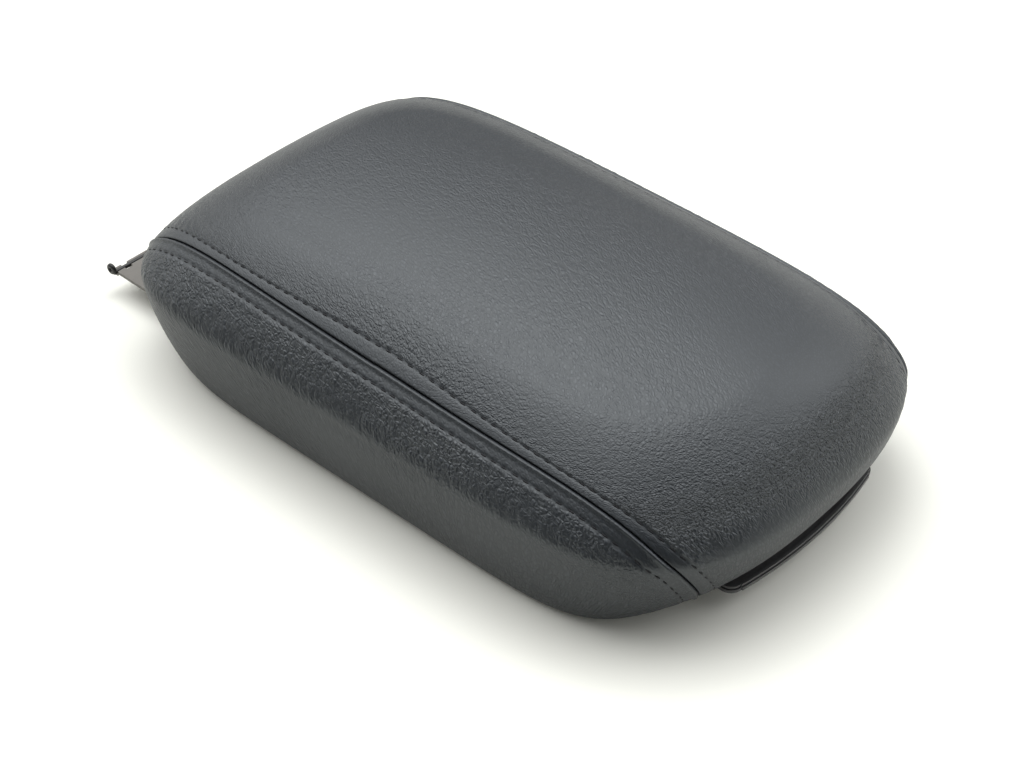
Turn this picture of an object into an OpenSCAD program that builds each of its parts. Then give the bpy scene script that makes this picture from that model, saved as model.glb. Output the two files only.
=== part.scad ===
// Padded lid of a car's centre armrest: a moulded carrier with a foam pad and a sewn leather cover,
// a screwed base panel, a pressed hinge leaf with its wire rod at the back and a sprung latch in front.
// Millimetres. X runs across the lid, -Y is the latch end, +Y the hinge end, Z is up.
// The origin is under the middle of the whole part, on the plane that the rubber bumpers stand on.

/* [Pad outline] */
// Half of the pad's width
half_w = 92; // [84:1:100]
// Reach of the pad from its middle line to the latch end
front_len = 151.6; // [140:0.2:165]
// Reach of the pad from its middle line to the hinge end
rear_len = 144.5; // [134:0.5:156]
// Roundness of the latch end, across and along
front_pow = [2.43, 6.42];
// Roundness of the hinge end, across and along
rear_pow = [5.21, 5.62];
// Widening of the pad from front to back, as a share per 150 mm
taper = 0.04; // [0:0.01:0.08]

/* [Pad section] */
// Height of the crown above the pad's lower edge
crown_h = 69.8; // [64:0.1:76]
// Fall of the top from the middle to the sides
side_fall = 12.3; // [6:0.1:16]
// Fall of the top from the middle to the two ends
end_fall = 6.4; // [2:0.1:9]
// Height of the pad's widest line above its lower edge
belt_h = 34.8; // [30:0.1:40]
// Radius of the upper edge round the pad
shoulder_r = 39.7; // [34:0.1:44]
// Inward turn of the lower edge along the sides
side_turn = 4.4; // [3:0.1:8]
// Inward turn of the lower edge at the two ends
end_turn = 30.6; // [24:0.1:34]
// Fullness of the upper edge, 2 is round
upper_pow = 1.6; // [1.4:0.05:2.2]
// Fullness of the lower edge, 2 is round
lower_pow = 1.73; // [1.5:0.01:2.2]

/* [Leather cover] */
// Thickness of the leather with its backing
cover_t = 2; // [1.4:0.1:2.6]
// Width of the hem glued under the carrier
hem_w = 10; // [8:0.5:12]
// Distance of each seam from the middle line, halfway along the pad
seam_x = 75.3; // [68:0.1:78]
// How far each seam comes in towards the ends of the pad
seam_in = 7.2; // [3:0.1:10]
// Distance of each seam from the middle line at the lower edge in front
seam_low_front = 48; // [46:0.5:60]
// Distance of each seam from the middle line at the lower edge behind
seam_low_rear = 56; // [50:0.5:64]
// Width of the groove along a seam
seam_gap = 0.6; // [0.3:0.1:1]

/* [Carrier] */
// Wall thickness of the carrier moulding
carrier_wall = 2.5; // [2:0.1:3.5]
// Height of the carrier's roof above the pad's lower edge
carrier_h = 44; // [40:0.5:48]
// Foam left between the cover and the carrier's side walls
foam_side = 8; // [6:0.5:9]
// Foam left between the cover and the carrier's end walls
foam_end = 9; // [7:0.5:11]
// Bevel along the carrier's roof
roof_bevel = 9; // [5:0.5:12]
// Width of the flange that the hem is glued to
flange_w = 10; // [8:0.5:12]
// Spacing of the ribs under the carrier's roof
rib_pitch = 36; // [28:1:48]
// Thickness of every stiffening rib
rib_t = 2; // [1.6:0.1:2.6]
// Depth of the ribs under the carrier's roof
rib_depth = 13; // [8:0.5:18]

/* [Base panel] */
// Thickness of the base panel
base_t = 2.4; // [2:0.1:3.2]
// Thickness of the lip that covers the raw edge of the hem
lip_t = 1.2; // [1:0.1:1.8]
// Overlap of the lip under the hem
lip_over = 5.5; // [4:0.5:8]
// Height of the panel's upright rim
rim_h = 11; // [8:0.5:14]
// Half of the distance between the two rows of base screws
screw_x = 60; // [54:1:64]
// Distance between base screws along the lid
screw_pitch = 62; // [54:1:70]
// Depth of the dish pressed into the underside
dish_d = 1; // [0.5:0.1:1.4]
// Distance of the front bumpers from the pad's middle line
bumper_front = 84; // [80:1:86]
// Distance of the rear bumpers from the pad's middle line
bumper_rear = 64; // [60:1:66]

/* [Hinge] */
// Half of the hinge leaf's width
leaf_half_w = 69.5; // [64:0.5:71]
// Thickness of the leaf's steel sheet
leaf_t = 1.5; // [1.2:0.1:2]
// Length of the leaf that stands out behind its seat
leaf_out = 36.5; // [30:0.5:42]
// Depth of the leaf's seat under the carrier
seat_len = 42; // [38:1:48]
// Height of the leaf's top above the pad's lower edge
leaf_top = 8; // [7:0.1:10]
// Diameter of the wire rod
rod_d = 2; // [1.6:0.1:2.6]
// Width of the small slots punched beside the outer tabs
slot_w = 3.4; // [3:0.1:5]
// Width of the two outer tabs that hold the rod
outer_tab_w = 3.8; // [3:0.1:6]
// Half of the open length of rod between the inner tabs
rod_open = 40; // [30:1:48]

/* [Latch] */
// Sideways place of the latch
latch_x = 2.5; // [0:0.5:4]
// Half of the width of the finger lip
lip_half_w = 44; // [40:0.5:46]
// Radius of the finger lip's curve, seen from above
lip_r = 200; // [150:5:260]
// Reach of the finger lip from the pad's middle line
lip_reach = 144.8; // [143:0.1:146.5]
// Height of the finger lip, from its underside to the top of its bead
lip_wall_h = 2.8; // [2.4:0.1:4]
// Thickness of the finger lip's wall, with the bead
lip_wall_t = 1.6; // [1.4:0.1:2.4]
// Diameter of the latch's pivot pin
pin_d = 4; // [3:0.1:5]
// Distance of the pivot from the pad's middle line
pivot_y = 112; // [109:0.5:114]
// Height of the pivot above the pad's lower edge
pivot_h = 25; // [23:0.5:27]
// Running clearance round the pivot pin
pin_clear = 0.06; // [0.03:0.01:0.1]
// Reach of the hook's nose
hook_reach = 3; // [2:0.1:3.2]
// Wire diameter of the latch spring
spring_wire = 1.2; // [0.9:0.1:1.5]
// Number of turns in the latch spring
spring_turns = 4; // [3:1:5]

/* [Small parts] */
// Height of the rubber bumpers below the base panel
bumper_h = 1; // [0.8:0.1:2]
// Diameter of a rubber bumper's foot
bumper_d = 12; // [9:0.5:15]
// Thread diameter of the screws
screw_d = 4; // [3.5:0.1:5]
// Gap left between parts that are laid against each other
fit = 0.2; // [0.1:0.05:0.3]

/* [Hidden] */
$fn = 48;

// Points round each ring of the pad, and the levels that the rings lie on
ring_n = 56;
lower_levels = [-1, -0.8, -0.6, -0.4, -0.2, 0];
upper_levels = [0.14, 0.28, 0.42, 0.56, 0.7, 0.84, 1];
top_levels = [1.35, 1.7, 1.95];
levels = concat(lower_levels, upper_levels, top_levels);

// Heights above the plane that the bumpers stand on
base_z = bumper_h;
pad_z = base_z + lip_t;
flange_z = pad_z + cover_t + fit;
flange_t = carrier_wall;
roof_z = pad_z + carrier_h;
ceiling_z = roof_z - carrier_wall;
foam_z = flange_z + flange_t + fit;

// The whole part reaches from the pad's widest ring in front to the eyes of the rod
seat_over = 14.6;
eye_r = rod_d / 2 + 0.55;
seat_end = rear_len - end_turn + seat_over;
rod_y = seat_end + leaf_out + rod_d / 2 + 0.3;
eye_y = rod_y + 1.2;
rear_reach = eye_y + eye_r + rod_d / 2;
front_reach = max([for (p = pad_ring(0, 0)) -p[1]]);
middle_y = (front_reach - rear_reach) / 2;

// Carrier outline: inset from the pad's outline along the sides and at the ends
wall_x = half_w - cover_t - foam_side;
wall_front = front_len - cover_t - foam_end;
wall_rear = rear_len - cover_t - foam_end;
sole_front = front_len - end_turn;
sole_rear = rear_len - end_turn;
foot_inset = 1;
foot_h = 10.3;

// Openings in the carrier and the cover for the hinge leaf and the latch
leaf_z = pad_z + leaf_top;
leaf_y0 = seat_end - seat_len;
seat_room = 4;
seat_t = 3;
hinge_wall_y = leaf_y0 - seat_room - carrier_wall;
hinge_cut = leaf_half_w + 2;
latch_cut = lip_half_w + 2.5;
latch_roof = pad_z + 13.2;

// Hinge: height of the rod's axis, screws and relief holes in the leaf
rod_z = leaf_z - rod_d / 2 + 0.2;
hinge_screw_x = 54;
hinge_screw_in = 13;
hinge_screw_len = 12;
relief_x = 36;
relief_in = 32;
relief_d = 12;
nut_plate_t = 2.5;

// Latch: distances from the pad's middle line, heights, widths to each side of the latch's own middle
latch_back = 96;
housing_front = 120;
housing_back = latch_back + 1;
deck_z = pad_z + 36;
sole_t = 1.8;
cheek_x = 22;
cheek_t = 2.5;
pivot_z = pad_z + pivot_h;
barrel_r = pin_d / 2 + 2.6;
lip_z = pad_z + 6.3;
lip_floor_t = 1.4;
lip_back = 122;
lip_end = 135.5;
lip_end_r = 5;
neck_half = 12;
hook_half = 11;
deck_half = 40;
buffer_x = 31;
buffer_y = 127;
buffer_w = 10;
buffer_l = 6;
latch_screw_x = 34;
latch_screw_y = [114, 103];
latch_screw_len = 6.5;

// Screw heads and the bosses round the screws
boss_d = screw_d + 4.6;
flat_head_d = screw_d + 3.6;
base_screw_len = 20;

// Direction of the pad's outline at an angle, as shares of its half width and its half length
function outline_pow(a) = sin(a) < 0 ? front_pow : rear_pow;
function outline_at(a) = let (s = abs(sin(a)), p = outline_pow(a))
    [sign(cos(a)) * pow(max(0, 1 - pow(s, p[1])), 1 / p[0]), sign(sin(a)) * s];
function outline_points(w, front, rear, n = 96) = [for (i = [0 : n - 1])
    let (e = outline_at((i + 0.5) * 360 / n), y = e[1] * (e[1] < 0 ? front : rear))
    [w * e[0] * (1 + taper * y / 150), y]];

// Surface of the pad. The level runs from -1 at the lower edge through 0 at the widest line to 1 at
// the end of the shoulder and 2 at the middle of the top. A depth moves the point inwards.
function end_share(e) = pow(e[1], 4) * (1 - pow(e[0], 8));
function crown_at(x, y) = crown_h - side_fall * pow(x / half_w, 2)
    - end_fall * pow(abs(y) / (y < 0 ? front_len : rear_len), 2.5);
function turn_at(e) = side_turn + (end_turn - side_turn) * end_share(e);
function inset_at(e, v, depth) = v < 0
    ? turn_at(e) * (1 - pow(cos(-90 * v), 2 / lower_pow)) + depth * cos(-90 * v)
    : v <= 1 ? shoulder_r * (1 - pow(cos(90 * v), 2 / upper_pow)) + depth * cos(90 * v)
    : shoulder_r + (half_w - shoulder_r) * (v - 1);
function height_at(x, y, v, depth) = v < 0
    ? belt_h * (1 - pow(sin(-90 * v), 2 / lower_pow)) + depth * sin(-90 * v)
    : belt_h + (crown_at(x, y) - belt_h) * (v < 1 ? pow(sin(90 * v), 2 / upper_pow) : 1)
        - depth * (v < 1 ? sin(90 * v) : 1);
function pad_point(a, v, depth) = let (e = outline_at(a), d = inset_at(e, v, depth),
    y = e[1] * ((e[1] < 0 ? front_len : rear_len) - d),
    x = e[0] * (half_w - d) * (1 + taper * y / 150))
    [x, y, pad_z + height_at(x, y, v, depth)];
function pad_ring(v, depth) = [for (i = [0 : ring_n - 1]) pad_point((i + 0.5) * 360 / ring_n, v, depth)];
function sole_point(a, inset) = let (e = outline_at(a), d = turn_at(e) + inset,
    y = e[1] * ((e[1] < 0 ? front_len : rear_len) - d))
    [e[0] * (half_w - d) * (1 + taper * y / 150), y];
function sole_points(inset) = [for (i = [0 : ring_n - 1]) sole_point((i + 0.5) * 360 / ring_n, inset)];
function hem_ring(depth) = [for (p = sole_points(hem_w)) [p[0], p[1], pad_z + depth]];

// Triangles between neighbouring rings, and across the first or the last ring
function wall_faces(rings) = [for (k = [0 : rings - 2], i = [0 : ring_n - 1])
    let (j = (i + 1) % ring_n, a = k * ring_n, b = a + ring_n)
    each [[a + i, b + i, b + j], [a + i, b + j, a + j]]];
function cap_faces(first, up) = let (h = ring_n / 4)
    [for (k = [-h : h - 2])
    let (a = (k + ring_n) % ring_n, b = (k + 1 + ring_n) % ring_n,
        c = (2 * h - 1 - k) % ring_n, d = (2 * h - 2 - k) % ring_n)
    each (up ? [[first + a, first + c, first + b], [first + b, first + c, first + d]]
        : [[first + a, first + b, first + c], [first + b, first + d, first + c]])];

// Closed skin of leather: outer rings from the hem to the crown, inner rings back to the hem
module cover_skin() {
    outer = concat([hem_ring(0)], [for (v = levels) pad_ring(v, 0)]);
    inner = concat([hem_ring(cover_t)], [for (v = levels) pad_ring(v, cover_t)]);
    n = len(outer);
    flip = [for (f = wall_faces(n)) [f[2] + n * ring_n, f[1] + n * ring_n, f[0] + n * ring_n]];
    edge = [for (i = [0 : ring_n - 1]) let (j = (i + 1) % ring_n, b = n * ring_n)
        each [[i, j, b + j], [i, b + j, b + i]]];
    polyhedron(points = [for (r = concat(outer, inner)) each r],
        faces = concat(wall_faces(n), cap_faces((n - 1) * ring_n, true),
            flip, cap_faces((2 * n - 1) * ring_n, false), edge));
}

// Solid of the pad inside a depth, from a level upwards
module pad_solid(depth, from) {
    used = [for (v = levels) if (v >= from) v];
    rings = [for (v = used) pad_ring(v, depth)];
    polyhedron(points = [for (r = rings) each r],
        faces = concat(wall_faces(len(used)), cap_faces((len(used) - 1) * ring_n, true),
            cap_faces(0, false)));
}

// Half width of the top panel along the pad, as an outline seen from above
function seam_at(y) = let (t = y / (y < 0 ? front_len : rear_len))
    seam_x - 1.3 * t - seam_in * pow(abs(t), 3);
function seam_line(grow) = [for (i = [-20 : 20])
    let (y = i / 20 * (i < 0 ? front_len : rear_len)) [seam_at(y) + grow, y]];

// Space that belongs to the top panel: above the widest line it follows the seams seen from above,
// below it the seams run in towards the middle as they go down the two ends
module top_zone(grow) {
    line = seam_line(grow);
    split_z = pad_z + belt_h;
    reach = 400;
    translate([0, 0, split_z])
        linear_extrude(crown_h)
            polygon(concat(line, [[line[40][0], reach], [-line[40][0], reach]],
                [for (i = [40 : -1 : 0]) [-line[i][0], line[i][1]]],
                [[-line[0][0], -reach], [line[0][0], -reach]]));
    for (end = [[-1, seam_at(-0.9 * front_len), seam_low_front],
        [1, seam_at(0.9 * rear_len), seam_low_rear]])
        translate([0, end[0] < 0 ? -60 : reach, 0])
            rotate([90, 0, 0])
                linear_extrude(reach - 60)
                    polygon([[end[2] + grow, -1], [end[1] + grow, split_z + 0.01],
                        [-end[1] - grow, split_z + 0.01], [-end[2] - grow, -1]]);
}

// Room in the cover's lower edge for the hinge leaf and the latch
module edge_cuts(z_gap) {
    translate([-hinge_cut, leaf_y0 - seat_room, -1])
        cube([2 * hinge_cut, 200, leaf_z + z_gap + 1]);
    translate([latch_x - latch_cut, -220, -1])
        cube([2 * latch_cut, 220 - latch_back, latch_roof + z_gap + 1]);
}

module in_place() translate([0, middle_y, 0]) children();

// Top panel of the cover, one piece that wraps over both ends
module cover_top_panel() {
    color([0.2, 0.21, 0.22])
        in_place()
            difference() {
                intersection() {
                    cover_skin();
                    top_zone(-seam_gap / 2);
                }
                edge_cuts(0.5);
            }
}

// One side panel of the cover, from the seam round the side to the hem
module side_panel(side) {
    difference() {
        intersection() {
            cover_skin();
            translate([side > 0 ? 0 : -200, -300, -1])
                cube([200, 600, 200]);
        }
        top_zone(seam_gap / 2);
        edge_cuts(0.5);
    }
}

module cover_left_panel() color([0.13, 0.13, 0.14]) in_place() side_panel(-1);

module cover_right_panel() color([0.13, 0.13, 0.14]) in_place() side_panel(1);

// Outside of the carrier grown by a gap: its plan, its side view and its front view cut each other
module carrier_form(gap, top) {
    w = wall_x + gap;
    front = wall_front + gap;
    rear = wall_rear + gap;
    bevel = roof_bevel;
    toe = 0.42 * carrier_h;
    ledge_z = pad_z + foot_h - gap;
    intersection() {
        union() {
            linear_extrude(ledge_z)
                polygon(sole_points(foot_inset - gap));
            translate([0, 0, ledge_z])
                linear_extrude(top + 1 - ledge_z)
                    polygon(outline_points(w, front, rear));
        }
        linear_extrude(top + 1)
            polygon(outline_points(w, front, rear));
        rotate([90, 0, 90])
            translate([0, 0, -150])
                linear_extrude(300)
                    polygon([[-sole_front - gap, -1], [-sole_front - gap, flange_z],
                        [-sole_front - 8 - gap, pad_z + 10], [-front + 3, pad_z + toe],
                        [-front, pad_z + toe + 6], [-front, top - bevel],
                        [-front + 1.6 * bevel, top], [rear - 1.6 * bevel, top], [rear, top - bevel],
                        [rear, pad_z + toe + 6], [rear - 3, pad_z + toe], [sole_rear + 8 + gap, pad_z + 10],
                        [sole_rear + gap, flange_z], [sole_rear + gap, -1]]);
        rotate([90, 0, 0])
            translate([0, 0, -250])
                linear_extrude(500)
                    polygon([[-w - 9, -1], [-w - 9, top - bevel - 4], [-w - 3 + 1.6 * bevel, top],
                        [w + 3 - 1.6 * bevel, top], [w + 9, top - bevel - 4], [w + 9, -1]]);
    }
}

// Foam pad moulded over the carrier
module foam_pad() {
    color([0.85, 0.8, 0.6])
        in_place()
            difference() {
                pad_solid(cover_t + fit, -0.8);
                carrier_form(fit, roof_z + fit);
                translate([-200, -300, -10])
                    cube([400, 600, foam_z + 10]);
                edge_cuts(6);
            }
}

// Places of the screws, seen from above
base_screw_at = [for (x = [-screw_x, screw_x], k = [-1 : 1]) [x, k * screw_pitch]];
hinge_screw_at = [for (k = [-1.5 : 1.5]) [k / 1.5 * hinge_screw_x, leaf_y0 + hinge_screw_in]];
latch_screw_at = [for (x = [-latch_screw_x, latch_screw_x], y = latch_screw_y) [latch_x + x, -y]];
hinge_boss_top = leaf_z + 24;

// Moulded carrier: walls, roof, flange, seat for the hinge leaf, pocket for the latch, ribs and bosses
module pad_carrier() {
    color([0.25, 0.26, 0.28])
        in_place()
            difference() {
                union() {
                    difference() {
                        carrier_form(0, roof_z);
                        carrier_form(-carrier_wall, ceiling_z);
                        translate([-200, -300, -10])
                            cube([400, 600, flange_z + 10]);
                    }
                    carrier_flange();
                    intersection() {
                        carrier_form(-carrier_wall + 0.5, ceiling_z + 1);
                        carrier_inside();
                    }
                }
                edge_cuts(0.1);
                for (p = base_screw_at)
                    translate([p[0], p[1], 0])
                        cylinder(d = screw_d - 0.2, h = ceiling_z - 12);
                for (p = hinge_screw_at)
                    translate([p[0], p[1], 0])
                        cylinder(d = screw_d + 0.4, h = hinge_boss_top + 1);
                for (p = latch_screw_at)
                    translate([p[0], p[1], 0])
                        cylinder(d = screw_d - 0.2, h = roof_z - 1.2);
            }
}

// Flat ring under the walls that the hem is glued to
module carrier_flange() {
    translate([0, 0, flange_z])
        linear_extrude(flange_t)
            difference() {
                polygon(sole_points(cover_t + 2 * fit));
                polygon(sole_points(cover_t + 2 * fit + flange_w));
            }
}

// Ribs, bosses and the two pockets, cut to the inside of the carrier
module carrier_inside() {
    for (x = [-1, 0, 1])
        translate([x * rib_pitch - rib_t / 2, -latch_back, ceiling_z - rib_depth])
            cube([rib_t, latch_back + leaf_y0, rib_depth + 1]);
    for (k = [-2 : 2])
        translate([-wall_x, k * rib_pitch - rib_t / 2, ceiling_z - rib_depth])
            cube([2 * wall_x, rib_t, rib_depth + 1]);
    for (p = base_screw_at)
        translate([p[0], p[1], base_z + base_t + rim_h])
            cylinder(d = boss_d, h = ceiling_z - base_z - base_t - rim_h + 1);
    for (p = latch_screw_at)
        translate([p[0], p[1], deck_z + carrier_wall + fit])
            cylinder(d = boss_d, h = ceiling_z - deck_z);
    // Seat over the hinge leaf, its front wall and its two end walls
    translate([-hinge_cut - carrier_wall, hinge_wall_y, leaf_z])
        cube([2 * (hinge_cut + carrier_wall), 200, seat_t]);
    translate([-hinge_cut - carrier_wall, hinge_wall_y, flange_z])
        cube([2 * (hinge_cut + carrier_wall), carrier_wall, leaf_z - flange_z + seat_t]);
    for (p = hinge_screw_at)
        translate([p[0] - rib_t / 2, p[1] + 8, leaf_z + seat_t - 0.1])
            cube([rib_t, 60, ceiling_z - leaf_z - seat_t + 1]);
    // Walls and roof round the latch
    for (x = [-1, 1])
        translate([latch_x + x * (latch_cut + carrier_wall / 2) - carrier_wall / 2, -220, flange_z])
            cube([carrier_wall, 220 - latch_back + carrier_wall, ceiling_z - flange_z + 1]);
    translate([latch_x - latch_cut, -latch_back, flange_z])
        cube([2 * latch_cut, carrier_wall, ceiling_z - flange_z + 1]);
}

// Outline of the base panel, inset from the turned edge and clear of the hinge and the latch
module base_outline(inset, clear) {
    difference() {
        polygon(sole_points(inset));
        translate([-hinge_cut - clear, hinge_wall_y - clear])
            square([2 * (hinge_cut + clear), 200]);
        translate([latch_x - latch_cut - clear, -220])
            square([2 * (latch_cut + clear), 220 - latch_back + clear]);
    }
}

// Base panel: lip, dished sheet, upright rim, ribs and screw towers
module base_panel() {
    rim_in = cover_t + 4 * fit + flange_w;
    plate_top = base_z + base_t;
    rim_clear = carrier_wall + fit;
    dish_in = 10;
    color([0.1, 0.1, 0.11])
        in_place()
            difference() {
                union() {
                    translate([0, 0, base_z])
                        linear_extrude(lip_t)
                            base_outline(hem_w - lip_over, fit);
                    translate([0, 0, base_z])
                        linear_extrude(base_t)
                            base_outline(rim_in, fit);
                    translate([0, 0, plate_top - 0.1])
                        linear_extrude(rim_h + 0.1)
                            difference() {
                                base_outline(rim_in, rim_clear);
                                base_outline(rim_in + rib_t, rim_clear + rib_t);
                            }
                    for (x = [-1 : 1])
                        translate([x * rib_pitch - rib_t / 2, -latch_back + 4, plate_top - 0.1])
                            cube([rib_t, latch_back + hinge_wall_y - 8, rim_h - 4]);
                    for (k = [-2 : 2])
                        translate([-screw_x, k * rib_pitch - rib_t / 2, plate_top - 0.1])
                            cube([2 * screw_x, rib_t, rim_h - 4]);
                    for (p = base_screw_at)
                        translate([p[0], p[1], base_z])
                            cylinder(d = boss_d + 2.4, h = base_t + rim_h - fit);
                }
                // Dish in the underside, inside a plain border
                translate([0, 0, base_z - 1])
                    linear_extrude(1 + dish_d)
                        polygon(outline_points(screw_x - dish_in, bumper_front - bumper_d,
                            bumper_rear - bumper_d));
                for (p = base_screw_at)
                    translate([p[0], p[1], 0]) {
                        cylinder(d = boss_d - 0.2, h = base_z + base_t + rim_h - 3);
                        cylinder(d = screw_d + 0.5, h = 40);
                    }
                for (p = bumper_at)
                    translate([p[0], p[1], 0])
                        cylinder(d = bumper_d / 2 + 0.1, h = 20);
            }
}

// Screw with a domed head below and a point above, its head's seat at the origin
module screw(length, head_d) {
    rotate_extrude()
        polygon([[0, -2.4], [head_d * 0.22, -2.3], [head_d * 0.42, -1.7], [head_d / 2, -0.8],
            [head_d / 2, 0], [screw_d / 2 - 0.15, 0], [screw_d / 2 - 0.15, length - 2],
            [0.3, length], [0, length]]);
}

module base_screws() {
    color("silver")
        in_place()
            for (p = base_screw_at)
                translate([p[0], p[1], base_z + base_t + rim_h - 3])
                    screw(base_screw_len, boss_d - 1.2);
}

// Rubber bumpers: a domed foot, a stem through the panel and a barb above it
bumper_at = [for (x = [-1, 1], y = [-bumper_front, bumper_rear]) [x * (screw_x - 14), y]];
module bumper() {
    grip = base_z + base_t;
    rotate_extrude()
        polygon([[0, 0], [bumper_d / 2 - 1.2, 0], [bumper_d / 2, bumper_h * 0.6], [bumper_d / 2, bumper_h],
            [bumper_d / 4, bumper_h], [bumper_d / 4, grip], [bumper_d / 4 + 0.9, grip],
            [bumper_d / 4 + 0.9, grip + 0.8], [bumper_d / 4 - 1, grip + 3], [0, grip + 3]]);
}

module front_bumpers() {
    color("black")
        in_place()
            for (p = bumper_at)
                if (p[1] < 0)
                    translate([p[0], p[1], 0]) bumper();
}

module rear_bumpers() {
    color("black")
        in_place()
            for (p = bumper_at)
                if (p[1] > 0)
                    translate([p[0], p[1], 0]) bumper();
}

// Leaf: flat sheet with a seat, a rear edge with tabs rolled under the rod, slots and a middle cut-out
module hinge_leaf() {
    under = leaf_z - leaf_t;
    tab_r = rod_d / 2 + 0.03;
    slot_y = seat_end + leaf_out - 1.2;
    outer_x = leaf_half_w - outer_tab_w;
    tabs = [[outer_x, outer_tab_w], [rod_open, outer_x - slot_w - rod_open]];
    color([0.55, 0.55, 0.53])
        in_place()
            difference() {
                union() {
                    translate([-leaf_half_w, leaf_y0, under])
                        cube([2 * leaf_half_w, slot_y + 1.2 - leaf_y0, leaf_t]);
                    for (side = [-1, 1], t = tabs)
                        translate([side > 0 ? t[0] : -t[0] - t[1], rod_y, rod_z])
                            rotate([90, 0, 90])
                                tab_hook(t[1], tab_r, under - rod_z);
                }
                for (side = [-1, 1])
                    translate([side * (outer_x - slot_w / 2) - slot_w / 2, slot_y, under - 1])
                        cube([slot_w, 10, leaf_t + 2]);
                translate([-rod_open, rod_y - 7, under - 3])
                    cube([2 * rod_open, 20, leaf_t + 6]);
                translate([-leaf_half_w - 1, rod_y, rod_z])
                    rotate([0, 90, 0])
                        cylinder(r = tab_r, h = 2 * leaf_half_w + 2);
                for (p = hinge_screw_at)
                    translate([p[0], p[1], under - 1])
                        cylinder(d = screw_d + 0.4, h = leaf_t + 2);
                for (x = [-relief_x, relief_x])
                    translate([x, leaf_y0 + relief_in, under - 1])
                        cylinder(d = relief_d, h = leaf_t + 2);
            }
}

// One tab: the sheet runs on under the rod and curls up behind it
module tab_hook(length, r, bottom) {
    linear_extrude(length)
        difference() {
            union() {
                circle(r = r + 0.9);
                translate([-r - 3, bottom])
                    square([r + 3, leaf_t]);
            }
            circle(r = r);
            translate([-3 * r, 0.2])
                square([3 * r, 3 * r]);
            translate([-3 * r, 0.75 * r])
                square([6 * r, 3 * r]);
        }
}

module hinge_screws() {
    color("silver")
        in_place()
            for (p = hinge_screw_at)
                translate([p[0], p[1], leaf_z - leaf_t])
                    screw(hinge_screw_len, flat_head_d);
}

// Steel strip above the seat with a tapped hole for each hinge screw
module hinge_nut_plate() {
    strip_w = 14;
    color("silver")
        in_place()
            difference() {
                translate([-hinge_screw_x - strip_w / 2, leaf_y0 + hinge_screw_in - strip_w / 2,
                    leaf_z + seat_t])
                    cube([2 * hinge_screw_x + strip_w, strip_w, nut_plate_t]);
                for (p = hinge_screw_at)
                    translate([p[0], p[1], leaf_z + seat_t - 1])
                        cylinder(d = screw_d - 0.2, h = nut_plate_t + 2);
            }
}

// Spring-steel wire rod along the leaf's rear edge, each end wound up into an eye
module hinge_rod() {
    eye_x = leaf_half_w + rod_d / 2 + 0.1;
    color([0.2, 0.2, 0.2])
        in_place() {
            translate([-eye_x, rod_y, rod_z])
                rotate([0, 90, 0])
                    cylinder(d = rod_d, h = 2 * eye_x);
            for (side = [-1, 1])
                translate([side * eye_x, eye_y, rod_z + eye_r])
                    rotate([0, 90, 0])
                        rotate_extrude()
                            translate([eye_r, 0])
                                circle(d = rod_d);
        }
}

// Moulded housing screwed under the carrier's roof: deck, two cheeks for the pin, back wall, sole
module latch_housing() {
    y0 = -housing_front;
    y1 = -housing_back;
    color([0.12, 0.12, 0.13])
        in_place()
            translate([latch_x, 0, 0])
                difference() {
                    union() {
                        translate([-deck_half, y0, deck_z])
                            cube([2 * deck_half, y1 - y0, carrier_wall]);
                        for (x = [-cheek_x - cheek_t, cheek_x])
                            translate([x, y0, base_z])
                                cube([cheek_t, y1 - y0, deck_z - base_z + 0.1]);
                        translate([-cheek_x - cheek_t, y1 - 2, base_z])
                            cube([2 * (cheek_x + cheek_t), 2, deck_z - base_z + 0.1]);
                        difference() {
                            translate([-latch_cut + 1, y0, base_z])
                                cube([2 * latch_cut - 2, y1 - y0, sole_t]);
                            translate([-cheek_x, y0 - 1, base_z - 1])
                                cube([2 * cheek_x, y1 - y0 - 1, 4]);
                        }
                        for (x = [-buffer_x, buffer_x]) {
                            translate([x - buffer_w / 2 - 1, -buffer_y - 1, base_z])
                                cube([buffer_w + 2, buffer_y + 3 - housing_front, sole_t]);
                            translate([x - 0.9, y0 + 3, base_z + 1])
                                cube([1.8, y1 - y0 - 3, 8]);
                        }
                    }
                    translate([-cheek_x - cheek_t - 1, -pivot_y, pivot_z])
                        rotate([0, 90, 0])
                            cylinder(d = pin_d + 0.04, h = 2 * (cheek_x + cheek_t + 1));
                    for (p = latch_screw_at)
                        translate([p[0] - latch_x, p[1], deck_z - 1])
                            cylinder(d = screw_d + 0.4, h = 6);
                }
}

module latch_screws() {
    color("silver")
        in_place()
            for (p = latch_screw_at)
                translate([p[0], p[1], deck_z])
                    screw(latch_screw_len, flat_head_d);
}

// Crescent outline of the finger lip, seen from above, with rounded ends
module crescent(inset) {
    centre = lip_r - lip_reach;
    side_x = lip_half_w - lip_end_r;
    intersection() {
        translate([0, centre])
            circle(r = lip_r - inset, $fn = 240);
        union() {
            translate([-side_x, -lip_reach - 5])
                square([2 * side_x, lip_reach + 5 - lip_back]);
            for (x = [-side_x, side_x])
                translate([x, -lip_end])
                    circle(r = lip_end_r - inset);
            translate([-lip_half_w + inset, -lip_end])
                square([2 * (lip_half_w - inset), lip_end - lip_back - inset]);
        }
    }
}

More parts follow.
